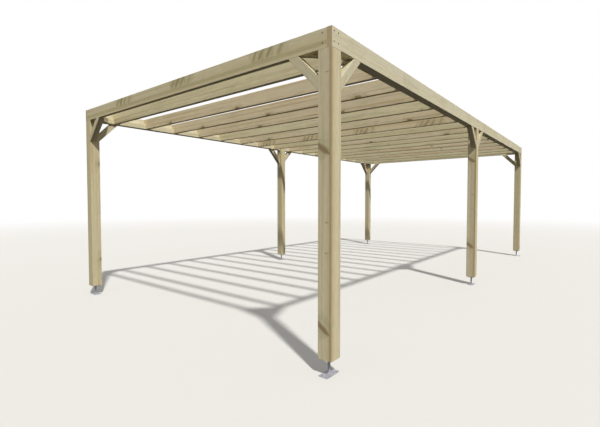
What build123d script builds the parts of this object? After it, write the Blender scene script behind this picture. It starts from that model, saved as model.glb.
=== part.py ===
from build123d import *
import os

# An open wooden pergola: six posts on adjustable metal feet carry a ring of beams,
# and boards on edge span it as rafters, notched to sit on lower inner beams. Sizes
# are in millimetres. X runs across the width, Y along the length, Z is up, and the
# origin is on the ground at the middle.

overall_width = 4000.0
overall_length = 7840.0
overall_height = 2500.0

post_size = 120.0
beam_height = 145.0
beam_thickness = 45.0
inner_beam_height = 70.0
rafter_height = 145.0
rafter_thickness = 45.0
rafter_count = 16
rafter_end_distance = 357.5
brace_size = 70.0
brace_length = 400.0
level_brace_length = 300.0
arris_size = 2.0

foot_height = 120.0
base_plate_width = 80.0
base_plate_length = 160.0
base_plate_thickness = 5.0
base_hole_diameter = 11.0
base_hole_edge = 18.0
head_plate_size = 90.0
head_plate_thickness = 5.0
head_hole_diameter = 9.0
head_hole_edge = 14.0
plate_corner_cut = 4.0
rod_diameter = 20.0
weld_size = 4.0
nut_across_flats = 30.0
nut_height = 16.0

half_width = overall_width / 2
half_length = overall_length / 2
beam_bottom = overall_height - beam_height
beam_middle = overall_height - beam_height / 2
inner_beam_middle = beam_bottom + inner_beam_height / 2
rafter_middle = overall_height - rafter_height / 2
post_height = overall_height - foot_height
post_x = half_width - post_size / 2
post_y = half_length - post_size / 2
inner_beam_x = half_width - 1.5 * beam_thickness
inner_beam_length = half_length - 1.5 * post_size
rafter_length = overall_width - 2 * beam_thickness
rafter_pitch = (overall_length - 2 * rafter_end_distance) / (rafter_count - 1)
base_hole_spacing_x = base_plate_width - 2 * base_hole_edge
base_hole_spacing_y = base_plate_length - 2 * base_hole_edge
head_hole_spacing = head_plate_size - 2 * head_hole_edge
rod_bottom = base_plate_thickness
head_plate_bottom = foot_height - head_plate_thickness
nut_bottom = head_plate_bottom - nut_height

UP = Vector(0, 0, 1)
ALONG_X = Vector(1, 0, 0)
ALONG_Y = Vector(0, 1, 0)
SIDES = {"left": -1, "right": 1}
ENDS = {"front": -1, "back": 1}
ROWS = {"front": -1, "middle": 0, "back": 1}
TURNED_FEET = ["front_left", "back_right"]

os.makedirs("parts", exist_ok=True)


def save(part, name):
    """Label a finished piece and write it under its node name."""
    part.label = name
    export_step(part, f"parts/{name}.step")


def make_board(start, direction, length, height, thickness):
    """A board on edge with eased arrises; start is the middle of its first end."""
    section = Plane(origin=start, x_dir=UP.cross(direction), z_dir=direction)
    with BuildPart() as board:
        with BuildSketch(section) as profile:
            Rectangle(thickness, height)
            chamfer(profile.vertices(), length=arris_size)
        extrude(amount=length)
    return board.part


def make_post(side, row):
    """A square post whose head is notched so that the beams finish flush with it."""
    with BuildPart() as post:
        with BuildSketch(Plane.XY.offset(foot_height)) as section:
            with Locations((side * post_x, row * post_y)):
                Rectangle(post_size, post_size)
            chamfer(section.vertices(), length=arris_size)
        extrude(amount=post_height)
        with BuildSketch(Plane.XY.offset(beam_bottom)):
            with Locations((side * (half_width - beam_thickness / 2), row * post_y)):
                Rectangle(beam_thickness, post_size)
            if row != 0:
                with Locations((side * post_x, row * (half_length - beam_thickness / 2))):
                    Rectangle(post_size, beam_thickness)
        extrude(amount=beam_height, mode=Mode.SUBTRACT)
    return post.part


def make_rafter(y):
    """A board across the roof, its ends notched over the inner beams."""
    start = (-rafter_length / 2, y, rafter_middle)
    board = make_board(start, ALONG_X, rafter_length, rafter_height, rafter_thickness)
    with BuildPart() as rafter:
        add(board)
        with BuildSketch(Plane.XY.offset(beam_bottom)):
            with Locations((-inner_beam_x, y), (inner_beam_x, y)):
                Rectangle(beam_thickness, rafter_thickness)
        extrude(amount=inner_beam_height, mode=Mode.SUBTRACT)
    return rafter.part


def make_brace(corner, first, second, inward, length):
    """A strut at 45 degrees, cut to lie flat on two faces that meet at right angles.

    corner is where they meet, and first and second point from it along the faces.
    inward is the way the thickness runs, and length is that of the longest side.
    """
    leg = length / 2**0.5
    inner_leg = leg - brace_size * 2**0.5
    with BuildPart() as brace:
        with BuildSketch(Plane(origin=corner, x_dir=first, z_dir=first.cross(second))):
            Polygon((inner_leg, 0), (leg, 0), (0, leg), (0, inner_leg), align=None)
        extrude(amount=brace_size, dir=inward)
        long_edges = brace.edges().filter_by(Axis((0, 0, 0), first - second))
        chamfer(long_edges, length=arris_size)
    return brace.part


def make_foot(x, y, turn):
    """An adjustable post foot: base plate, welded threaded rod, nut and head plate.

    turn is the angle of the base plate's long side from the Y axis, in degrees.
    """
    with BuildPart() as foot:
        with BuildSketch(Plane.XY) as base_plate:
            Rectangle(base_plate_width, base_plate_length)
            chamfer(base_plate.vertices(), length=plate_corner_cut)
        extrude(amount=base_plate_thickness)
        with BuildSketch(Plane.XY.offset(rod_bottom)):
            Circle(rod_diameter / 2)
        extrude(amount=head_plate_bottom - rod_bottom)
        rod_foot = (
            foot.edges()
            .filter_by(GeomType.CIRCLE)
            .filter_by_position(Axis.Z, rod_bottom, rod_bottom)
            .sort_by(SortBy.RADIUS)[-1]
        )
        chamfer(rod_foot, length=weld_size)
        with BuildSketch(Plane.XY.offset(nut_bottom)):
            RegularPolygon(nut_across_flats / 2, 6, major_radius=False)
        extrude(amount=nut_height)
        with BuildSketch(Plane.XY.offset(head_plate_bottom)) as head_plate:
            Rectangle(head_plate_size, head_plate_size)
            chamfer(head_plate.vertices(), length=plate_corner_cut)
        extrude(amount=head_plate_thickness)
        with Locations((0, 0, base_plate_thickness)):
            with GridLocations(base_hole_spacing_x, base_hole_spacing_y, 2, 2):
                Hole(base_hole_diameter / 2, depth=base_plate_thickness)
        with Locations((0, 0, foot_height)):
            with GridLocations(head_hole_spacing, head_hole_spacing, 2, 2):
                Hole(head_hole_diameter / 2, depth=head_plate_thickness)
    return foot.part.moved(Location((x, y, 0), (0, 0, turn)))


for side_name, side in SIDES.items():
    for row_name, row in ROWS.items():
        place = f"{row_name}_{side_name}"
        save(make_post(side, row), f"post_{place}")
        turn = 90 if place in TURNED_FEET else 0
        save(make_foot(side * post_x, row * post_y, turn), f"foot_{place}")

    side_start = (side * (half_width - beam_thickness / 2), -half_length, beam_middle)
    side_beam = make_board(
        side_start, ALONG_Y, overall_length, beam_height, beam_thickness
    )
    save(side_beam, f"side_beam_{side_name}")

    for end_name, end in ENDS.items():
        inner_start_y = post_size / 2 if end > 0 else post_size - half_length
        inner_beam = make_board(
            (side * inner_beam_x, inner_start_y, inner_beam_middle),
            ALONG_Y,
            inner_beam_length,
            inner_beam_height,
            beam_thickness,
        )
        save(inner_beam, f"inner_beam_{end_name}_{side_name}")

        across = ALONG_X * -side
        lengthwise = ALONG_Y * -end
        down = UP * -1
        on_side = (side * half_width, end * (half_length - post_size), beam_bottom)
        save(
            make_brace(on_side, lengthwise, down, across, brace_length),
            f"brace_{end_name}_{side_name}_lengthwise",
        )
        on_end = (side * (half_width - post_size), end * half_length, beam_bottom)
        save(
            make_brace(on_end, across, down, lengthwise, brace_length),
            f"brace_{end_name}_{side_name}_across",
        )
        on_middle = (side * half_width, end * post_size / 2, beam_bottom)
        save(
            make_brace(on_middle, ALONG_Y * end, down, across, brace_length),
            f"brace_middle_{side_name}_{end_name}ward",
        )
        inside_x = side * (half_width - 2 * beam_thickness)
        inside = (inside_x, end * (half_length - beam_thickness), beam_bottom)
        save(
            make_brace(inside, across, lengthwise, UP, level_brace_length),
            f"brace_{end_name}_{side_name}_level",
        )

for end_name, end in ENDS.items():
    end_beam = make_board(
        (beam_thickness - half_width, end * (half_length - beam_thickness / 2), beam_middle),
        ALONG_X,
        overall_width - 2 * beam_thickness,
        beam_height,
        beam_thickness,
    )
    save(end_beam, f"end_beam_{end_name}")

for number in range(rafter_count):
    rafter_y = rafter_end_distance - half_length + number * rafter_pitch
    save(make_rafter(rafter_y), f"rafter_{number + 1:02d}")
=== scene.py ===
import math
import random

import bmesh
import bpy
from mathutils import Matrix, Vector


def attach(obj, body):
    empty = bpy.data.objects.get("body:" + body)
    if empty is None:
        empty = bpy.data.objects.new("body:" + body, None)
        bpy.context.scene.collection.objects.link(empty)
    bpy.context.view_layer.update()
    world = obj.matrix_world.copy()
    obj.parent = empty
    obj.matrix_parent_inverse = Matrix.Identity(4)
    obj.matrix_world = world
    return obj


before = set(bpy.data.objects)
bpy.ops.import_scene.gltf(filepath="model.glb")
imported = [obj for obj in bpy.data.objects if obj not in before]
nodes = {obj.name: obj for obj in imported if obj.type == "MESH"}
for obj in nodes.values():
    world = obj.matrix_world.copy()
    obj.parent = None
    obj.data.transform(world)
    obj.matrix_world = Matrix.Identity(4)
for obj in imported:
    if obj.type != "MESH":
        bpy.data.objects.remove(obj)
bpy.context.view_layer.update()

# The looks of an open pergola of pressure-treated pine. Everything is in metres, in
# the same frame as the solids: X across the width, Y along the length, Z up.

UP = Vector((0, 0, 1))
ALONG_X = Vector((1, 0, 0))
ALONG_Y = Vector((0, 1, 0))
SIDES = {"left": -1, "right": 1}
ROWS = {"front": -1, "middle": 0, "back": 1}


def extent(points):
    """The low and the high corner of the box round some points."""
    low = Vector([min(point[axis] for point in points) for axis in range(3)])
    high = Vector([max(point[axis] for point in points) for axis in range(3)])
    return low, high


def node_extent(name):
    return extent([vertex.co for vertex in nodes[name].data.vertices])


def post_places():
    """Each post's name, its side and its row."""
    for side_name, side in SIDES.items():
        for row_name, row in ROWS.items():
            yield f"{row_name}_{side_name}", side, row


def add_object(name, data):
    thing = bpy.data.objects.new(name, data)
    bpy.context.scene.collection.objects.link(thing)
    return thing


# Where a Mix node's colours stand among its sockets.
MIX_FACTOR = 0
MIX_FIRST = 6
MIX_SECOND = 7
MIX_RESULT = 2


class Nodes:
    """A node tree, with short calls for the nodes that the finishes use."""

    def __init__(self, tree):
        self.tree = tree

    def feed(self, socket, value):
        """Link a socket to another one, or give it a plain value."""
        if isinstance(value, bpy.types.NodeSocket):
            self.tree.links.new(value, socket)
        else:
            socket.default_value = value

    def add(self, kind, inputs=None, **settings):
        node = self.tree.nodes.new(kind)
        for key, value in settings.items():
            setattr(node, key, value)
        for key, value in (inputs or {}).items():
            self.feed(node.inputs[key], value)
        return node

    def calc(self, operation, *values):
        inputs = dict(enumerate(values))
        return self.add("ShaderNodeMath", inputs, operation=operation).outputs["Value"]

    def vector(self, operation, *values):
        inputs = dict(enumerate(values))
        node = self.add("ShaderNodeVectorMath", inputs, operation=operation)
        outlet = "Value" if operation in ("LENGTH", "DOT_PRODUCT") else "Vector"
        return node.outputs[outlet]

    def scaled(self, place, factor):
        inputs = {0: place, "Scale": factor}
        node = self.add("ShaderNodeVectorMath", inputs, operation="SCALE")
        return node.outputs["Vector"]

    def part(self, place, axis):
        return self.add("ShaderNodeSeparateXYZ", {"Vector": place}).outputs[axis]

    def along(self, axis, value):
        return self.add("ShaderNodeCombineXYZ", {axis: value}).outputs["Vector"]

    def radius(self, place):
        """How far place lies from the Z axis."""
        return self.vector("LENGTH", self.vector("MULTIPLY", place, (1, 1, 0)))

    def noise(self, place, scale, detail=2.0, roughness=0.5, outlet="Fac"):
        inputs = {"Vector": place, "Scale": scale, "Detail": detail, "Roughness": roughness}
        return self.add("ShaderNodeTexNoise", inputs).outputs[outlet]

    def grain(self, place, shift, pattern, outlet="Fac"):
        """A noise in a pattern: scales across and along the grain, detail, roughness."""
        across, along, detail, roughness = pattern
        stretched = self.vector("MULTIPLY", place, (across, across, along))
        spot = self.vector("ADD", stretched, shift)
        return self.noise(spot, 1.0, detail, roughness, outlet)

    def between(self, value, low, high):
        """0 where value is under low, 1 over high, and a smooth step between them."""
        inputs = {"Value": value, "From Min": low, "From Max": high}
        node = self.add("ShaderNodeMapRange", inputs, interpolation_type="SMOOTHSTEP")
        return node.outputs["Result"]

    def step(self, value, low, high, most):
        """Like between, but up to most in place of 1."""
        return self.calc("MULTIPLY", self.between(value, low, high), most)

    def mix(self, factor, first, second, blend="MIX"):
        inputs = {MIX_FACTOR: factor, MIX_FIRST: first, MIX_SECOND: second}
        node = self.add("ShaderNodeMix", inputs, data_type="RGBA", blend_type=blend)
        return node.outputs[MIX_RESULT]

    def multiply(self, colour, other):
        return self.mix(1.0, colour, other, "MULTIPLY")

    def centred(self, colour, reach):
        """A noise colour as a sideways shift of at most half of reach."""
        from_middle = self.vector("SUBTRACT", colour, (0.5, 0.5, 0.5))
        return self.vector("MULTIPLY", from_middle, (reach, reach, 0))

    def seen_directly(self):
        """1 for the rays that look at a surface: straight, in a gloss or through glass."""
        ray = self.add("ShaderNodeLightPath").outputs
        share = self.calc("MAXIMUM", ray["Is Camera Ray"], ray["Is Glossy Ray"])
        return self.calc("MAXIMUM", share, ray["Is Transmission Ray"])


class Material(Nodes):
    """A material and the node tree of its shader."""

    def __init__(self, name):
        self.material = bpy.data.materials.new(name)
        self.material.use_nodes = True
        super().__init__(self.material.node_tree)
        self.shader = self.tree.nodes["Principled BSDF"]

    def set_shader(self, inputs):
        for title, value in inputs.items():
            self.feed(self.shader.inputs[title], value)

    def dent(self, height, strength, distance):
        """Let height show in the surface's shading."""
        inputs = {"Height": height, "Strength": strength, "Distance": distance}
        bump = self.add("ShaderNodeBump", inputs)
        self.feed(self.shader.inputs["Normal"], bump.outputs["Normal"])

    def dress(self, node):
        """Make this a node's only material."""
        node.data.materials.clear()
        node.data.materials.append(self.material)


# Linear colours of the wood and its marks.
EARLY_WOOD = (0.650, 0.580, 0.385, 1)
LATE_WOOD = (0.510, 0.420, 0.240, 1)
INNER_WOOD = (0.600, 0.510, 0.305, 1)
PALE_WOOD = (0.740, 0.665, 0.480, 1)
HEART_BROWN = (0.350, 0.250, 0.120, 1)
HEART_OLIVE = (0.400, 0.355, 0.185, 1)
GREEN_STAIN = (0.370, 0.345, 0.175, 1)
GREY_STREAK = (0.590, 0.560, 0.440, 1)
BROWN_STREAK = (0.440, 0.345, 0.190, 1)
KNOT_BROWN = (0.240, 0.150, 0.075, 1)
KNOT_DARK = (0.090, 0.055, 0.030, 1)
END_GRAIN = (0.800, 0.690, 0.590, 1)
# Painted shade: the near black of the inside of a drying crack.
CRACK_SHADE = (0.070, 0.048, 0.028, 1)

KNOT_SHARES = ("Core", "Rim", "Halo")
KNOT_VECTORS = ("Place", "Start", "Toward")
KNOT_NUMBERS = ("Size", "Reach", "Heartwood", "Bark", "Stain")
PINE_VECTORS = ("Place", "Shift")
PINE_NUMBERS = ("Heart", "Wander", "Slant", "Pale", "Streaks", "Green", "Checks", "End")
PINE_COLOURS = ("Heart Color", "Tint")
PINE_OUT_NUMBERS = ("Roughness", "Height")
PINE_OUT_COLOURS = ("Color",)


def sockets(vectors=(), numbers=(), colours=()):
    """The titles and kinds of a group's inlets or outlets."""
    kinds = dict.fromkeys(vectors, "NodeSocketVector")
    kinds |= dict.fromkeys(numbers, "NodeSocketFloat")
    kinds |= dict.fromkeys(colours, "NodeSocketColor")
    return kinds


def start_group(name, inlets, outlets):
    """The nodes of a new group, and the sockets of what is given to it."""
    group = bpy.data.node_groups.new(name, "ShaderNodeTree")
    for title, kind in inlets.items():
        group.interface.new_socket(title, in_out="INPUT", socket_type=kind)
    for title, kind in outlets.items():
        group.interface.new_socket(title, in_out="OUTPUT", socket_type=kind)
    t = Nodes(group)
    return t, t.add("NodeGroupInput").outputs


# A branch swells from the pith and stops past its reach, both in metres. The steps of
# its core, bark and stain are in radii of the branch.
BRANCH_SWELL = (-0.002, 0.060)
BRANCH_STOP = (0.004, -0.006)
BRANCH_THINNEST = 0.00001
CORE_STEP = (1.35, 0.40)
BARK_OUTER_STEP = (1.45, 1.0)
BARK_INNER_STEP = (0.6, 0.95)
STAIN_STEP = (4.5, 0.6)
STAIN_STRETCH = (1, 1, 0.4)


def make_knot_group():
    """One branch: a cone that leaves the pith at Start, slants up the log and stops at
    Reach. What it gives out is the larger of its own share and the share of the knots
    before it."""
    inlets = sockets(KNOT_VECTORS, KNOT_NUMBERS + KNOT_SHARES)
    t, given = start_group("knot", inlets, sockets(numbers=KNOT_SHARES))
    reach = t.vector("SUBTRACT", given["Place"], given["Start"])
    out = t.vector("DOT_PRODUCT", reach, given["Toward"])
    away = t.vector("SUBTRACT", reach, t.scaled(given["Toward"], out))
    past = t.calc("SUBTRACT", out, given["Reach"])
    size = t.calc("MULTIPLY", given["Size"], t.between(out, *BRANCH_SWELL))
    size = t.calc("MULTIPLY", size, t.between(past, *BRANCH_STOP))
    size = t.calc("MAXIMUM", size, BRANCH_THINNEST)
    share = t.calc("DIVIDE", t.vector("LENGTH", away), size)
    stretched = t.vector("LENGTH", t.vector("MULTIPLY", away, STAIN_STRETCH))
    core = t.between(share, *CORE_STEP)
    bark_inside = t.between(share, *BARK_INNER_STEP)
    rim = t.calc("MULTIPLY", t.between(share, *BARK_OUTER_STEP), bark_inside)
    halo = t.between(t.calc("DIVIDE", stretched, size), *STAIN_STEP)
    core = t.calc("MAXIMUM", t.calc("MULTIPLY", core, given["Heartwood"]), given["Core"])
    rim = t.calc("MAXIMUM", t.calc("MULTIPLY", rim, given["Bark"]), given["Rim"])
    halo = t.calc("MAXIMUM", t.calc("MULTIPLY", halo, given["Stain"]), given["Halo"])
    t.add("NodeGroupOutput", {"Core": core, "Rim": rim, "Halo": halo})
    return t.tree


# Patterns of grain: scales across and along it, detail and roughness.
WANDER_GRAIN = (0.0, 0.9, 1.0, 0.5)
RIPPLE_GRAIN = (9.0, 1.6, 2.0, 0.5)
CHECK_GRAIN = (15.0, 0.4, 1.0, 0.5)
CHECKED_GRAIN = (3.0, 1.4, 1.0, 0.5)
STROKE_GRAIN = (9.0, 22.0, 3.0, 0.6)
FIBRE_GRAIN = (620.0, 9.0, 3.0, 0.6)
STREAK_GRAIN = (36.0, 0.55, 3.0, 0.55)
PALE_GRAIN = (62.0, 0.45, 2.0, 0.5)
BLOTCH_GRAIN = (13.0, 1.5, 4.0, 0.6)
MOTTLE_GRAIN = (48.0, 13.0, 3.0, 0.6)

# Rings' width, the ripple and the knots' swell are in metres, the unevenness in rings,
# and the steps of the latewood in shares of a ring.
RING_WIDTH = 0.0042
RING_UNEVENNESS = 3.0
RING_UNEVEN_SCALE = 40.0
RIPPLE_REACH = 0.014
LOG_TAPER = 0.006
KNOT_SWELL = 0.008
LATE_RISE = (0.25, 0.90)
LATE_FALL = (1.0, 0.93)
YEAR_SPREAD = 0.6
YEAR_LEAST = 0.4


def add_rings(t, given):
    """Growth rings round a pith that wanders, in a log that tapers. The rings swell
    round each knot. Returns the latewood's share."""
    place, shift = given["Place"], given["Shift"]
    wander = t.centred(t.grain(place, shift, WANDER_GRAIN, "Color"), 1.0)
    wander = t.vector("MULTIPLY", wander, given["Wander"])
    ripple = t.centred(t.grain(place, shift, RIPPLE_GRAIN, "Color"), RIPPLE_REACH)
    radius = t.radius(t.vector("ADD", t.vector("ADD", place, wander), ripple))
    radius = t.calc("MULTIPLY_ADD", t.part(place, "Z"), LOG_TAPER, radius)
    radius = t.calc("MULTIPLY_ADD", given["Halo"], KNOT_SWELL, radius)
    years = t.along("X", t.calc("MULTIPLY", radius, RING_UNEVEN_SCALE))
    uneven = t.noise(t.vector("ADD", years, shift), 1.0, 1.0)
    uneven = t.calc("MULTIPLY", uneven, RING_UNEVENNESS)
    ring = t.calc("ADD", t.calc("DIVIDE", radius, RING_WIDTH), uneven)
    part = t.calc("FRACT", ring)
    late = t.calc("MULTIPLY", t.between(part, *LATE_RISE), t.between(part, *LATE_FALL))
    year = t.add("ShaderNodeTexWhiteNoise", {"W": t.calc("FLOOR", ring)}, noise_dimensions="1D")
    strength = t.calc("MULTIPLY_ADD", year.outputs["Value"], YEAR_SPREAD, YEAR_LEAST)
    return t.calc("MULTIPLY", late, strength)


CHECK_EDGES = (0.006, 0.0015)
CHECKED_STRETCHES = (0.54, 0.62)


def add_checks(t, given):
    """Drying cracks follow the fibre: thin lines where a slow noise crosses its middle,
    on some stretches of the board. Their mask darkens the wood with painted shade, as
    down in a crack."""
    place, shift = given["Place"], given["Shift"]
    line = t.calc("SUBTRACT", t.grain(place, shift, CHECK_GRAIN), 0.5)
    gate = t.between(t.grain(place, shift, CHECKED_GRAIN), *CHECKED_STRETCHES)
    check = t.calc("MULTIPLY", t.between(t.calc("ABSOLUTE", line), *CHECK_EDGES), gate)
    return t.calc("MULTIPLY", check, given["Checks"])


STROKE_STEP = (0.38, 0.62)
STROKE_SPREAD = 0.65
STROKE_LEAST = 0.25


def add_feathers(t, given):
    """The stain round a knot runs out in strokes across the grain, as the branch rises."""
    place = given["Place"]
    rise = t.calc("MULTIPLY", t.radius(place), given["Slant"])
    fall = t.along("Z", t.calc("MULTIPLY", rise, -1.0))
    slanted = t.vector("ADD", place, fall)
    stroke = t.between(t.grain(slanted, given["Shift"], STROKE_GRAIN), *STROKE_STEP)
    strength = t.calc("MULTIPLY_ADD", stroke, STROKE_SPREAD, STROKE_LEAST)
    return t.calc("MULTIPLY", given["Halo"], strength)


# A step runs from its first value to its second, and up to its third if it has one.
LATE_SHARE = 0.70
LATE_SHARE_MORE_ON_ENDS = 0.25
GREY_STEP = (0.52, 0.70, 0.60)
BROWN_STEP = (0.50, 0.68)
INNER_STEP = (0.075, 0.015, 0.55)
PALE_STEP = (0.35, 0.65)
PALE_SHARE = 0.45


def wood_colour(t, given, late, streak, pith_distance):
    """Early and late wood with grey and brown streaks, warmer toward the pith and paler
    where the log is."""
    late_share = t.calc("MULTIPLY_ADD", given["End"], LATE_SHARE_MORE_ON_ENDS, LATE_SHARE)
    late_share = t.calc("MULTIPLY", late, late_share)
    pale = t.grain(given["Place"], given["Shift"], PALE_GRAIN)
    colour = t.mix(late_share, EARLY_WOOD, LATE_WOOD)
    colour = t.mix(t.step(pale, *GREY_STEP), colour, GREY_STREAK)
    colour = t.mix(t.step(streak, *BROWN_STEP, given["Streaks"]), colour, BROWN_STREAK)
    inner_colour = t.mix(late_share, INNER_WOOD, LATE_WOOD)
    colour = t.mix(t.step(pith_distance, *INNER_STEP), colour, inner_colour)
    pale_share = t.step(pale, *PALE_STEP, given["Pale"])
    return t.mix(t.calc("MULTIPLY", pale_share, PALE_SHARE), colour, PALE_WOOD)


HEART_EDGE = (-0.006, 0.006, 0.60)
BLOTCH_STEP = (0.50, 0.75)
CORE_SHARE = 0.85
RIM_SHARE = 0.70


def marked_colour(t, given, colour, pith_distance):
    """The wood's colour with its heartwood, green stain and knots."""
    blotch = t.grain(given["Place"], given["Shift"], BLOTCH_GRAIN)
    inside = t.calc("SUBTRACT", given["Heart"], pith_distance)
    colour = t.mix(t.step(inside, *HEART_EDGE), colour, given["Heart Color"])
    stain = t.step(blotch, *BLOTCH_STEP, given["Green"])
    colour = t.mix(t.calc("MAXIMUM", stain, add_feathers(t, given)), colour, GREEN_STAIN)
    colour = t.mix(t.calc("MULTIPLY", given["Core"], CORE_SHARE), colour, KNOT_BROWN)
    return t.mix(t.calc("MULTIPLY", given["Rim"], RIM_SHARE), colour, KNOT_DARK)


FIBRE_SHADE = 0.30
MOTTLE_SHADE = 0.24
DARKEST_SHADE = 0.73
# How strongly the cracks get their painted shade.
CRACK_SHADE_SHARE = 0.85


def shaded_colour(t, given, colour, fibre, check):
    """The colour with the fibre's fine tones, the ends' tone, the drying cracks darkened
    with painted shade, and the board's own tint."""
    mottle = t.grain(given["Place"], given["Shift"], MOTTLE_GRAIN)
    shade = t.calc("MULTIPLY_ADD", fibre, FIBRE_SHADE, DARKEST_SHADE)
    shade = t.calc("MULTIPLY_ADD", mottle, MOTTLE_SHADE, shade)
    grey = t.add("ShaderNodeCombineColor", {"Red": shade, "Green": shade, "Blue": shade})
    colour = t.multiply(colour, grey.outputs["Color"])
    colour = t.mix(given["End"], colour, t.multiply(colour, END_GRAIN))
    # Painted shade down in the drying cracks.
    colour = t.mix(t.calc("MULTIPLY", check, CRACK_SHADE_SHARE), colour, CRACK_SHADE)
    return t.multiply(colour, given["Tint"])


STREAK_WAVE = 0.020
LATE_HEIGHT = 0.35
FIBRE_HEIGHT = 0.5
CHECK_HEIGHT = -2.0
FIBRE_ROUGHNESS = 0.20
LEAST_ROUGHNESS = 0.62


def make_pine_group():
    """Pine sawn from a log. Place is the point seen from the pith, with Z along the
    board, so the rings, the cathedral grain on flat-sawn faces and the rings on the
    ends all come from one solid pattern."""
    inlets = sockets(PINE_VECTORS, PINE_NUMBERS + KNOT_SHARES, PINE_COLOURS)
    outlets = sockets(numbers=PINE_OUT_NUMBERS, colours=PINE_OUT_COLOURS)
    t, given = start_group("pine", inlets, outlets)
    place, shift = given["Place"], given["Shift"]
    late = add_rings(t, given)
    check = add_checks(t, given)
    fibre = t.grain(place, shift, FIBRE_GRAIN)
    streak = t.grain(place, shift, STREAK_GRAIN)
    wave = t.calc("SUBTRACT", streak, 0.5)
    pith_distance = t.calc("MULTIPLY_ADD", wave, STREAK_WAVE, t.radius(place))

    colour = wood_colour(t, given, late, streak, pith_distance)
    colour = marked_colour(t, given, colour, pith_distance)
    colour = shaded_colour(t, given, colour, fibre, check)
    height = t.calc("MULTIPLY", fibre, FIBRE_HEIGHT)
    height = t.calc("MULTIPLY_ADD", late, LATE_HEIGHT, height)
    height = t.calc("MULTIPLY_ADD", check, CHECK_HEIGHT, height)
    roughness = t.calc("MULTIPLY_ADD", fibre, FIBRE_ROUGHNESS, LEAST_ROUGHNESS)
    t.add("NodeGroupOutput", {"Color": colour, "Roughness": roughness, "Height": height})
    return t.tree


knot = make_knot_group()
pine = make_pine_group()

# A direction that rises by more than this counts as upright.
UPRIGHT = 0.9


class Board:
    """A board, post or strut: its grain's direction, and where its solid lies in a
    frame of two axes across the grain and one along it. On a level board the first
    runs through its thickness and the second points up."""

    def __init__(self, node, along):
        self.node = node
        self.along = along
        across = UP.cross(along) if abs(along.z) < UPRIGHT else ALONG_X.copy()
        across.normalize()
        self.turn = Matrix((across, along.cross(across), along))
        low, high = extent([self.turn @ vertex.co for vertex in node.data.vertices])
        self.middle = (low + high) / 2
        self.half = (high - low) / 2


BRANCH_RISE = 0.45
PAST_THE_BARK = 1.0


class Branch:
    """A knot's branch. Its axis passes through a height and two cross places on the
    board, and it has a radius there, shares of brown core, of dark bark round it and of
    green stain beside it, a rise on its way out and a distance at which it stops."""

    def __init__(
        self,
        height,
        first,
        second,
        size,
        core=0.0,
        bark=0.0,
        stain=0.0,
        rise=BRANCH_RISE,
        reach=PAST_THE_BARK,
    ):
        self.height = height
        self.first = first
        self.second = second
        self.size = size
        self.core = core
        self.bark = bark
        self.stain = stain
        self.rise = rise
        self.reach = reach


class Log:
    """What a board's piece of log looks like; pith is where the log's middle lies from
    the board's."""

    def __init__(self, pith, tint):
        self.pith = pith
        self.tint = tint
        self.knots = []
        self.heart = 0.0
        self.heart_color = HEART_BROWN
        self.wander = 0.030
        self.slant = BRANCH_RISE
        self.pale_from = None
        self.streaks = 0.5
        self.green = 0.3
        self.checks = 0.5


def add_knots(m, place, log):
    """Chain the log's knots. Returns their shares of core, rim and halo."""
    shares = dict.fromkeys(KNOT_SHARES, 0.0)
    for branch in log.knots:
        aim = Vector((branch.first - log.pith[0], branch.second - log.pith[1], 0))
        rise = branch.rise * aim.length
        start = Vector((0, 0, branch.height - rise))
        aim.z = rise
        inputs = {
            "Place": place,
            "Start": start,
            "Toward": aim.normalized(),
            "Size": branch.size,
            "Reach": branch.reach,
            "Heartwood": branch.core,
            "Bark": branch.bark,
            "Stain": branch.stain,
            **shares,
        }
        group = m.add("ShaderNodeGroup", inputs, node_tree=knot)
        shares = {title: group.outputs[title] for title in KNOT_SHARES}
    return shares


SHIFT_REACH = 40
END_FACING = (0.90, 0.98)
WOOD_SHEEN = 0.02
WOOD_BUMP = 0.5
WOOD_BUMP_DEPTH = 0.0006


def seen_from_pith(m, place, board, log):
    """A place on the board as seen from the log's pith, with Z along the board."""
    inputs = {
        "Vector": place,
        "Location": -board.middle - Vector((*log.pith, 0)),
        "Rotation": board.turn.to_euler(),
    }
    return m.add("ShaderNodeMapping", inputs, vector_type="POINT").outputs["Vector"]


def pine_finish(board, log):
    """Give a board the looks of its own piece of a log."""
    chance = random.Random("log " + board.node.name)
    m = Material(f"treated_pine_{board.node.name}")
    source = m.add("ShaderNodeTexCoord").outputs
    place = seen_from_pith(m, source["Object"], board, log)
    facing = m.calc("ABSOLUTE", m.vector("DOT_PRODUCT", source["Normal"], board.along))
    inputs = {
        "Place": place,
        "Shift": [chance.uniform(0, SHIFT_REACH) for _ in range(3)],
        "Heart": log.heart,
        "Heart Color": log.heart_color,
        "Wander": log.wander,
        "Slant": log.slant,
        "Streaks": log.streaks,
        "Green": log.green,
        "Checks": log.checks,
        "End": m.between(facing, *END_FACING),
        "Tint": (*log.tint, 1),
        **add_knots(m, place, log),
    }
    if log.pale_from:
        inputs["Pale"] = m.between(m.part(place, "X"), *log.pale_from)
    grain = m.add("ShaderNodeGroup", inputs, node_tree=pine).outputs
    m.set_shader(
        {
            "Base Color": grain["Color"],
            "Roughness": grain["Roughness"],
            "Specular IOR Level": WOOD_SHEEN,
        }
    )
    m.dent(grain["Height"], WOOD_BUMP, WOOD_BUMP_DEPTH)
    m.dress(board.node)


WELD_DISTANCE = 0.00001
SHARP_ANGLE = 25
EDGE_SEGMENTS = 2
WOOD_EDGE = 0.0008
STEEL_EDGE = 0.0005


def soften(node, width):
    """Round a solid's sharp edges a little. Its flat faces stay where they are."""
    weld = node.modifiers.new("weld", "WELD")
    weld.merge_threshold = WELD_DISTANCE
    bevel = node.modifiers.new("soften", "BEVEL")
    bevel.width = width
    bevel.segments = EDGE_SEGMENTS
    bevel.limit_method = "ANGLE"
    bevel.angle_limit = math.radians(SHARP_ANGLE)
    bevel.harden_normals = True


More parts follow.
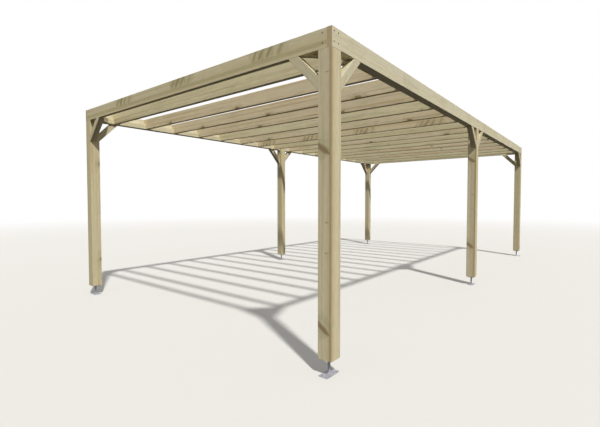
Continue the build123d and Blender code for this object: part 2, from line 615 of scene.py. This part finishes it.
def brace_direction(name):
    """Which way a strut runs: from the post up to the beam, or from beam to beam."""
    words = name.split("_")
    if words[1] == "middle":
        return (ALONG_Y * ROWS[words[3].removesuffix("ward")] + UP).normalized()
    lengthwise = ALONG_Y * -ROWS[words[1]]
    across = ALONG_X * -SIDES[words[2]]
    if words[3] == "level":
        return (across - lengthwise).normalized()
    if words[3] == "lengthwise":
        return (lengthwise + UP).normalized()
    return (across + UP).normalized()


def board_direction(name):
    """Which way the grain of a board, post or strut runs."""
    if name.startswith("post"):
        return UP
    if name.startswith("brace"):
        return brace_direction(name)
    if name.startswith(("side_beam", "inner_beam")):
        return ALONG_Y
    return ALONG_X


# These posts show their pith. The others stand turned round.
PITH_POSTS = ("post_front_right", "post_middle_right")

# Tints that multiply the wood's colour, matched to the photo.
POST_TINT = (1.04, 1.04, 1.05)
TURNED_POST_TINT = (1.00, 0.99, 0.935)
SIDE_BEAM_TINT = (1.09, 1.13, 1.24)
END_BEAM_TINT = (1.09, 1.10, 1.10)
PINKISH_RAFTERS = (2, 3, 4, 6, 7, 9, 12, 14)
PINKISH = (1.10, 1.055, 1.07)
GREENISH = (1.085, 1.105, 1.09)
GREYISH = (1.00, 1.02, 1.06)
TINT_SPREAD = (0.98, 1.02)


def board_tint(name, chance):
    light = chance.uniform(*TINT_SPREAD)
    if name.startswith("rafter"):
        base = PINKISH if int(name[-2:]) in PINKISH_RAFTERS else GREENISH
    elif name.startswith("brace"):
        base = GREYISH
    elif name.startswith("post"):
        base = POST_TINT if name in PITH_POSTS else TURNED_POST_TINT
    elif name.startswith("end_beam"):
        base = END_BEAM_TINT
    else:
        base = SIDE_BEAM_TINT
    return [light * channel for channel in base]


# Ranges of the pith's place through the thickness and up the height.
STRUT_PITH = ((0.04, 0.07), (-0.04, 0.04))
QUARTER_SAWN_PITH = ((-0.018, 0.018), (0.075, 0.100))
FLAT_SAWN_PITH = ((0.045, 0.090), (-0.045, 0.045))
QUARTER_SAWN_SHARE = 0.35


def pith_place(name, chance):
    """Boards and struts are sawn beside the pith."""
    side = chance.choice((-1, 1))
    if name.startswith("brace"):
        aside, up = STRUT_PITH
        return (side * chance.uniform(*aside), chance.uniform(*up))
    if chance.random() < QUARTER_SAWN_SHARE:
        aside, up = QUARTER_SAWN_PITH
        return (chance.uniform(*aside), side * chance.uniform(*up))
    aside, up = FLAT_SAWN_PITH
    return (side * chance.uniform(*aside), chance.uniform(*up))


INNER_BEAM_WHORL_SPACING = 2.4
RAFTER_WHORL_SPACING = 1.5

# Ranges that knots are drawn from: heights of whorls in shares of their spacing, places
# in shares of the board's half sizes, and sizes in metres.
FIRST_WHORL = (0.3, 1.0)
NEXT_WHORL = (0.7, 1.3)
WHORL_COUNTS = (1, 1, 2)
WHORL_DEPTH = (-0.04, 0.04)
KNOT_ACROSS = (-1, 1)
KNOT_UP = (-1.05, 1.05)
KNOT_SIZES = (0.004, 0.009)
KNOT_CORES = (0.15, 0.80)
KNOT_STAINS = (0.40, 0.90)
BARK_OF_CORE = 0.8


def scatter_knots(board, chance, spacing):
    """Knots in whorls, as a pine's branches grow, aimed at places on the board."""
    knots = []
    height = -board.half.z + chance.uniform(*FIRST_WHORL) * spacing
    while height < board.half.z:
        for _ in range(chance.choice(WHORL_COUNTS)):
            spot = height + chance.uniform(*WHORL_DEPTH)
            first = board.half.x * chance.uniform(*KNOT_ACROSS)
            second = board.half.y * chance.uniform(*KNOT_UP)
            size = chance.uniform(*KNOT_SIZES)
            core = chance.uniform(*KNOT_CORES)
            stain = chance.uniform(*KNOT_STAINS)
            knots.append(Branch(spot, first, second, size, core, BARK_OF_CORE * core, stain))
        height += chance.uniform(*NEXT_WHORL) * spacing
    return knots


# How far each post's knots lie above those of the front right one.
POST_SHIFTS = {
    "post_front_right": 0.0,
    "post_middle_right": 0.25,
    "post_back_right": -0.20,
    "post_front_left": 0.10,
    "post_middle_left": -0.15,
    "post_back_left": 0.30,
}

# Heights and cross places are from the post's middle. Those of the pith, the long
# knots (spikes) and the short ones (pins) were read off the photo's front right post.
POST_PITH = Vector((0.053, -0.058))
POST_HEART = 0.014
POST_WANDER = 0.004
POST_PALE_FROM = (-0.015, -0.065)
SPIKE_HEIGHTS = (0.362, -0.936)
SPIKE_SPOT = Vector((-0.050, -0.056))
SPIKE = {"size": 0.0215, "core": 0.90, "bark": 0.12, "stain": 0.60, "rise": 0.70}
PIN_HEIGHTS = (0.878, -0.188, -0.407)
PIN_SPOT = Vector((0.020, -0.060))
PIN = {"size": 0.0050, "core": 0.75, "bark": 0.30, "stain": 0.10, "rise": 0.0, "reach": 0.050}


def post_log(name, tint):
    """All the posts come from alike logs, sawn with the pith along one arris. Two
    knots slant from it right across one face, and short ones end near it. Some posts
    stand the other way round, and each is cut from another height of its log."""
    shift = POST_SHIFTS[name]
    turn = 1 if name in PITH_POSTS else -1
    log = Log(POST_PITH * turn, tint)
    for height in SPIKE_HEIGHTS:
        log.knots.append(Branch(height + shift, *(SPIKE_SPOT * turn), **SPIKE))
    for height in PIN_HEIGHTS:
        log.knots.append(Branch(height + shift, *(PIN_SPOT * turn), **PIN))
    log.heart = POST_HEART
    log.wander = POST_WANDER
    log.pale_from = POST_PALE_FROM
    log.green = 0.05
    log.checks = 0.0
    return log


# Middles of the groups along each board, from its own middle, as the photo has them.
END_BEAM_SMUDGES = (-1.020, 0.136, 1.310)
RAFTER_SMUDGES = {"rafter_07": (-1.670, -0.650, 0.430, 1.500)}
SMUDGE_STEPS = ((-0.080, 0.80), (0.0, 1.0), (0.085, 0.90), (0.200, 0.60))
SMUDGED_PITH = (-0.016, -0.030)
SMUDGE_SPOT = (-0.020, 0.030)
SMUDGE_SIZE = 0.0150
SMUDGE_CORE = 0.65
SMUDGE_RISE = 0.60
SMUDGED_HEART = 0.018
SMUDGED_WANDER = 0.006


def smudged_log(tint, middles, way_up):
    """A board that shows its pith as an olive band near one edge of its face. From it
    run groups of broad green smudges, one group like the next. way_up is 1 with the
    band at the bottom and -1 with it at the top."""
    log = Log((SMUDGED_PITH[0], SMUDGED_PITH[1] * way_up), tint)
    aside, up = SMUDGE_SPOT
    for middle in middles:
        for step, stain in SMUDGE_STEPS:
            smudge = Branch(middle + step, aside, up * way_up, SMUDGE_SIZE)
            smudge.core = SMUDGE_CORE * stain
            smudge.stain = stain
            smudge.rise = SMUDGE_RISE * way_up
            log.knots.append(smudge)
    log.heart = SMUDGED_HEART
    log.heart_color = HEART_OLIVE
    log.slant = BRANCH_RISE * way_up
    log.wander = SMUDGED_WANDER
    log.green = 0.15
    return log


SIDE_BEAM_PITH = (0.075, 0.020)
STROKE_START = 0.3
STROKE_GAPS = (0.7, 1.1)
STROKE_ASIDE = 0.025
STROKE = {"size": 0.0280, "stain": 0.30}


def side_beam_log(board, chance, tint):
    """The side beams have hardly a knot: faint strokes across a plain pale grain."""
    aside, up = SIDE_BEAM_PITH
    side = chance.choice((-1, 1))
    log = Log((side * aside, up), tint)
    height = STROKE_START - board.half.z
    while height < board.half.z:
        log.knots.append(Branch(height, -side * STROKE_ASIDE, 0.0, **STROKE))
        height += chance.uniform(*STROKE_GAPS)
    log.streaks = 0.20
    log.green = 0.10
    return log


# Places of knots along the rafters, from their middles, as the photo has them.
RAFTER_KNOTS = {
    "rafter_02": (-1.249, 0.120),
    "rafter_03": (-1.153, 0.169, 1.464),
    "rafter_04": (-0.440, 0.967),
    "rafter_06": (-1.160, 1.435),
    "rafter_09": (0.098, 1.475),
}
KNOTTY_RAFTER_PITH = (0.090, -0.050)
OVAL_SPOT = (-0.0225, -0.062)
OVAL = {"size": 0.0135, "core": 1.0, "bark": 0.70, "stain": 0.80, "rise": 2.2}
RAFTER_GREENS = (0.35, 0.70)


def rafter_log(board, name, chance):
    """A rafter: a few knots, some of them cut through by the lower edge."""
    tint = board_tint(name, chance)
    if name in RAFTER_SMUDGES:
        return smudged_log(tint, RAFTER_SMUDGES[name], -1)
    log = Log(pith_place(name, chance), tint)
    if name in RAFTER_KNOTS:
        log.pith = KNOTTY_RAFTER_PITH
        log.knots = [Branch(along, *OVAL_SPOT, **OVAL) for along in RAFTER_KNOTS[name]]
    else:
        log.knots = scatter_knots(board, chance, RAFTER_WHORL_SPACING)
    log.green = chance.uniform(*RAFTER_GREENS)
    log.streaks = 0.60
    return log


PLAIN_GREENS = (0.05, 0.20)


def choose_log(board, name):
    chance = random.Random("board " + name)
    if name.startswith("rafter"):
        return rafter_log(board, name, chance)
    tint = board_tint(name, chance)
    if name.startswith("post"):
        return post_log(name, tint)
    if name.startswith("end_beam"):
        return smudged_log(tint, END_BEAM_SMUDGES, 1)
    if name.startswith("side_beam"):
        return side_beam_log(board, chance, tint)
    log = Log(pith_place(name, chance), tint)
    log.green = chance.uniform(*PLAIN_GREENS)
    if name.startswith("inner_beam"):
        log.knots = scatter_knots(board, chance, INNER_BEAM_WHORL_SPACING)
    return log


def finish_wood():
    for name, node in nodes.items():
        if not name.startswith("foot"):
            board = Board(node, board_direction(name))
            pine_finish(board, choose_log(board, name))
            soften(node, WOOD_EDGE)


CRYSTAL_SCALE = 140.0
CRYSTAL_SHARE = 0.25
# The noise's scale, detail and roughness.
STEEL_CLOUD = (30.0, 4.0, 0.6)
STEEL_STEP = (0.35, 0.90)
STEEL_METALLIC = 0.45
STEEL_ROUGHNESS_SPREAD = 0.10
STEEL_BUMP = 0.25
STEEL_BUMP_DEPTH = 0.0002


def steel_finish(name, dark, light, roughness):
    """Steel, a little cloudy, with faint crystals. On the feet it is coated with zinc; on
    the screws it is near black, which paints in the shade of the holes they sit in.
    """
    m = Material(name)
    place = m.add("ShaderNodeTexCoord").outputs["Object"]
    crystals = m.add("ShaderNodeTexVoronoi", {"Vector": place, "Scale": CRYSTAL_SCALE})
    crystal = m.add("ShaderNodeSeparateColor", {"Color": crystals.outputs["Color"]}).outputs
    cloud = m.noise(place, *STEEL_CLOUD)
    level = m.calc("ADD", m.calc("MULTIPLY", crystal["Red"], CRYSTAL_SHARE), cloud)
    least = roughness - STEEL_ROUGHNESS_SPREAD / 2
    varied = m.calc("MULTIPLY_ADD", crystal["Green"], STEEL_ROUGHNESS_SPREAD, least)
    m.set_shader(
        {
            "Base Color": m.mix(m.between(level, *STEEL_STEP), dark, light),
            "Metallic": STEEL_METALLIC,
            "Roughness": varied,
        }
    )
    m.dent(cloud, STEEL_BUMP, STEEL_BUMP_DEPTH)
    return m


GALVANISED_DARK = (0.32, 0.32, 0.355, 1)
GALVANISED_LIGHT = (0.42, 0.42, 0.465, 1)
GALVANISED_ROUGHNESS = 0.72
# The screws' near black is painted shade: it stands in for the dark holes round their heads.
SCREW_SHADED_DARK = (0.075, 0.068, 0.060, 1)
SCREW_SHADED_LIGHT = (0.13, 0.12, 0.11, 1)
SCREW_ROUGHNESS = 0.50

galvanised = steel_finish(
    "galvanised_steel", GALVANISED_DARK, GALVANISED_LIGHT, GALVANISED_ROUGHNESS
)
# The screws' finish, with the shade of their holes painted in.
screw_steel = steel_finish("coated_screws", SCREW_SHADED_DARK, SCREW_SHADED_LIGHT, SCREW_ROUGHNESS)


def finish_feet():
    for name, node in nodes.items():
        if name.startswith("foot"):
            galvanised.dress(node)
            soften(node, STEEL_EDGE)


def circle_ring(mesh, place, radius, height, segments=24, lobes=0, lobe_depth=0.0):
    """A ring of vertices round the axis of place, waved in and out by its lobes."""
    ring = []
    for step in range(segments):
        angle = 2 * math.pi * step / segments
        reach = radius + lobe_depth * math.cos(lobes * angle)
        spot = Vector((reach * math.cos(angle), reach * math.sin(angle), height))
        ring.append(mesh.verts.new(place @ spot))
    return ring


def skin(mesh, rings):
    """Close a solid round a row of rings."""
    for first, second in zip(rings, rings[1:]):
        for step in range(len(first)):
            after = (step + 1) % len(first)
            mesh.faces.new((first[step], first[after], second[after], second[step]))
    mesh.faces.new(rings[0][::-1])
    mesh.faces.new(rings[-1])


def finish_piece(mesh, name, finish):
    """Turn a bmesh into an object of the pergola's steel parts."""
    bmesh.ops.triangulate(mesh, faces=[face for face in mesh.faces if len(face.verts) > 4])
    data = bpy.data.meshes.new(name)
    mesh.to_mesh(data)
    mesh.free()
    data.materials.append(finish.material)
    piece = add_object(name, data)
    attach(piece, "root")


# How deep a loose piece reaches into what it bears on.
SUNK = 0.0003

# A screw's head: shares of its radius and height, from its side to its top, then those
# of its recess.
SCREW_RADIUS = 0.0055
SCREW_HEIGHT = 0.0018
SCREW_PROFILE = ((1.0, 0.3), (0.93, 0.65), (0.70, 1.0))
RECESS_RADIUS = 0.0024
RECESS_PROFILE = ((1.0, 1.0), (0.9, 0.1))
RECESS_LOBES = {"lobes": 6, "lobe_depth": 0.0004}


def add_screw(mesh, spot, outward):
    """A pan head with a six-lobed recess; spot is where it bears on the wood."""
    place = Matrix.Translation(spot) @ outward.to_track_quat("Z", "Y").to_matrix().to_4x4()
    rings = [circle_ring(mesh, place, SCREW_RADIUS, -SUNK)]
    for wide, high in SCREW_PROFILE:
        rings.append(circle_ring(mesh, place, wide * SCREW_RADIUS, high * SCREW_HEIGHT))
    for wide, high in RECESS_PROFILE:
        radius, height = wide * RECESS_RADIUS, high * SCREW_HEIGHT
        rings.append(circle_ring(mesh, place, radius, height, **RECESS_LOBES))
    skin(mesh, rings)


# Sizes from the solids, rounded to drop what single precision adds.
DECIMALS = 5
beam_corner = node_extent("side_beam_right")[1]
post_low, post_high = node_extent("post_front_right")
HALF_WIDTH = round(beam_corner.x, DECIMALS)
HALF_LENGTH = round(beam_corner.y, DECIMALS)
HEIGHT = round(beam_corner.z, DECIMALS)
POST_SIZE = round(post_high.x - post_low.x, DECIMALS)
FOOT_HEIGHT = round(post_low.z, DECIMALS)

# Where the screws stand: below the beams' top, in from the frame's outer faces, and to
# each side of a middle post's middle.
SCREW_DEPTHS = (0.030, 0.103)
SIDE_SCREWS = (0.0265, 0.082)
END_SCREW = 0.083
MIDDLE_SCREWS = (-0.028, 0.028)


def make_screws():
    """The screws that hold the beams to each post's head."""
    for place, side, row in post_places():
        mesh = bmesh.new()
        if row == 0:
            lengthwise = MIDDLE_SCREWS
        else:
            lengthwise = [row * (HALF_LENGTH - inset) for inset in SIDE_SCREWS]
        for depth in SCREW_DEPTHS:
            for along in lengthwise:
                spot = Vector((side * HALF_WIDTH, along, HEIGHT - depth))
                add_screw(mesh, spot, ALONG_X * side)
            if row != 0:
                across = side * (HALF_WIDTH - END_SCREW)
                spot = Vector((across, row * HALF_LENGTH, HEIGHT - depth))
                add_screw(mesh, spot, ALONG_Y * row)
        finish_piece(mesh, f"screws_{place}", screw_steel)


HEAD_PLATE_THICKNESS = 0.005
LAG_PLACES = (-0.031, 0.031)
WASHER_RADIUS = 0.008
WASHER_THICKNESS = 0.0016
WASHER_EDGE = 0.8
WASHER_TOP = 0.96
HEX_SIDES = 6
HEX_RADIUS = 0.0075
HEX_HEIGHT = 0.0055
HEX_EDGE = 0.0008
HEX_TOP = 0.85


def add_lag_screw(mesh, spot):
    """A washer and a hexagon head under the head plate, at spot on its underside."""
    place = Matrix.Translation(spot) @ Matrix.Rotation(math.pi, 4, "X")
    washer = [
        circle_ring(mesh, place, WASHER_RADIUS, -SUNK),
        circle_ring(mesh, place, WASHER_RADIUS, WASHER_EDGE * WASHER_THICKNESS),
        circle_ring(mesh, place, WASHER_TOP * WASHER_RADIUS, WASHER_THICKNESS),
    ]
    skin(mesh, washer)
    top = WASHER_THICKNESS + HEX_HEIGHT
    head = [
        circle_ring(mesh, place, HEX_RADIUS, WASHER_THICKNESS - SUNK, HEX_SIDES),
        circle_ring(mesh, place, HEX_RADIUS, top - HEX_EDGE, HEX_SIDES),
        circle_ring(mesh, place, HEX_TOP * HEX_RADIUS, top, HEX_SIDES),
    ]
    skin(mesh, head)


ROD_RADIUS = 0.010
NUT_HEIGHT = 0.016
NUT_CLEARANCE = 0.0015
THREAD_LOW = 0.0120
THREAD_SUNK = 0.0001
THREAD_RISE = 0.0008
THREAD_PITCH = 0.0025
THREAD_STEPS = 32
# Half the ridge's width, as a share of the pitch.
THREAD_HALF_WIDTH = 0.45


def add_thread(mesh, middle):
    """A ridge that winds up the rod, from above its weld to just under the nut, and
    fades out at both ends."""
    nut_bottom = FOOT_HEIGHT - HEAD_PLATE_THICKNESS - NUT_HEIGHT
    length = nut_bottom - NUT_CLEARANCE - THREAD_LOW
    count = round(length / THREAD_PITCH * THREAD_STEPS)
    root = ROD_RADIUS - THREAD_SUNK
    half = THREAD_HALF_WIDTH * THREAD_PITCH
    sections = []
    for step in range(count + 1):
        angle = 2 * math.pi * step / THREAD_STEPS
        height = THREAD_LOW + THREAD_PITCH * step / THREAD_STEPS
        fade = min(1.0, step / THREAD_STEPS, (count - step) / THREAD_STEPS)
        crest = root + (THREAD_SUNK + THREAD_RISE) * fade
        outward = Vector((math.cos(angle), math.sin(angle), 0))
        corners = (
            middle + outward * root + UP * (height - half),
            middle + outward * (crest + SUNK) + UP * height,
            middle + outward * root + UP * (height + half),
        )
        sections.append([mesh.verts.new(corner) for corner in corners])
    skin(mesh, sections)


def make_foot_details():
    """The lag screws into each post and the thread on each foot's rod."""
    underside = FOOT_HEIGHT - HEAD_PLATE_THICKNESS
    for place, side, row in post_places():
        across = side * (HALF_WIDTH - POST_SIZE / 2)
        along = row * (HALF_LENGTH - POST_SIZE / 2)
        middle = Vector((across, along, 0))
        lags = bmesh.new()
        for first in LAG_PLACES:
            for second in LAG_PLACES:
                add_lag_screw(lags, middle + Vector((first, second, underside)))
        finish_piece(lags, f"lag_screws_{place}", galvanised)
        thread = bmesh.new()
        add_thread(thread, middle)
        finish_piece(thread, f"thread_{place}", galvanised)


FLOOR_REACH = 60.0
FLOOR_SQUARES = 8
FLOOR_FADE = (9.0, 26.0)
FLOOR_PALE = (0.62, 0.61, 0.59, 1)
FLOOR_CLOUD = (0.56, 0.55, 0.53, 1)
FLOOR_CLOUD_SHARE = 0.05
FLOOR_NOISE_SCALE = 2.5
FLOOR_NOISE_DETAIL = 3.0
FLOOR_BOUNCE = (0.024, 0.020, 0.015, 1)
FLOOR_ROUGHNESS = 0.9
WHITE = (1, 1, 1, 1)


def floor_finish():
    """Pale where it is seen, dark in the light that it throws back, and white afar."""
    m = Material("floor")
    direct = m.seen_directly()
    place = m.add("ShaderNodeTexCoord").outputs["Object"]
    cloud = m.noise(place, FLOOR_NOISE_SCALE, FLOOR_NOISE_DETAIL)
    pale = m.mix(m.calc("MULTIPLY", cloud, FLOOR_CLOUD_SHARE), FLOOR_PALE, FLOOR_CLOUD)
    m.set_shader({"Base Color": m.mix(direct, FLOOR_BOUNCE, pale), "Roughness": FLOOR_ROUGHNESS})
    far = m.between(m.vector("LENGTH", place), *FLOOR_FADE)
    white = m.add("ShaderNodeEmission", {"Color": WHITE, "Strength": 1.0})
    shaders = {
        0: m.calc("MULTIPLY", far, direct),
        1: m.shader.outputs["BSDF"],
        2: white.outputs["Emission"],
    }
    fade = m.add("ShaderNodeMixShader", shaders)
    output = m.tree.nodes["Material Output"]
    m.feed(output.inputs["Surface"], fade.outputs["Shader"])
    return m


def make_floor():
    mesh = bpy.data.meshes.new("floor")
    grid = bmesh.new()
    bmesh.ops.create_grid(
        grid, x_segments=FLOOR_SQUARES, y_segments=FLOOR_SQUARES, size=FLOOR_REACH
    )
    grid.to_mesh(mesh)
    grid.free()
    mesh.materials.append(floor_finish().material)
    floor = add_object("floor", mesh)


AMBIENT = 0.77
HORIZON_FADE = 0.30
ZENITH_FADE = (0.45, 0.90)
ZENITH_LOSS = 0.70


def make_world():
    """An even sky, darker overhead and fading out at the horizon, that is seen white."""
    world = bpy.data.worlds.new("studio")
    world.use_nodes = True
    m = Nodes(world.node_tree)
    height = m.part(m.add("ShaderNodeTexCoord").outputs["Generated"], "Z")
    loss = m.step(height, *ZENITH_FADE, ZENITH_LOSS)
    dome = m.step(height, 0.0, HORIZON_FADE, AMBIENT)
    dome = m.calc("MULTIPLY", dome, m.calc("SUBTRACT", 1.0, loss))
    background = world.node_tree.nodes["Background"]
    m.feed(background.inputs["Color"], WHITE)
    m.feed(background.inputs["Strength"], m.calc("MAXIMUM", dome, m.seen_directly()))
    bpy.context.scene.world = world


# The sun's direction was measured from the shadows in the photo.
KEY_STRENGTH = 3.55
KEY_COLOR = (1.0, 0.985, 0.95)
KEY_ELEVATION = math.radians(54.8)
KEY_TOWARD_FRONT = math.radians(28.4)
KEY_SOFTNESS = math.radians(3.0)


def make_key():
    """The sun stands high on the right, turned toward the front."""
    lamp = bpy.data.lights.new("key", "SUN")
    lamp.energy = KEY_STRENGTH
    lamp.angle = KEY_SOFTNESS
    lamp.color = KEY_COLOR
    level = math.cos(KEY_ELEVATION)
    across = level * math.cos(KEY_TOWARD_FRONT)
    along = -level * math.sin(KEY_TOWARD_FRONT)
    toward = Vector((across, along, math.sin(KEY_ELEVATION)))
    key = add_object("key", lamp)
    key.rotation_mode = "QUATERNION"
    key.rotation_quaternion = toward.to_track_quat("Z", "Y")


# The camera was fitted to the corners of posts and beams in the photo. Its angles are
# in degrees, its lens and sensor in millimetres.
CAMERA_PLACE = Vector((3.4961, -6.1473, 1.2794))
CAMERA_TURN = 38.662
CAMERA_TILT = -1.943
CAMERA_LENS = 22.732
CAMERA_SENSOR = 36.0


def make_camera():
    camera_data = bpy.data.cameras.new("camera")
    camera_data.lens = CAMERA_LENS
    camera_data.sensor_width = CAMERA_SENSOR
    camera = add_object("camera", camera_data)
    camera.location = CAMERA_PLACE
    camera.rotation_euler = (math.radians(90 + CAMERA_TILT), 0, math.radians(CAMERA_TURN))
    bpy.context.scene.camera = camera


finish_wood()
finish_feet()
make_screws()
make_foot_details()
make_floor()
make_world()
make_key()
make_camera()
bpy.context.scene.view_settings.view_transform = "Standard"
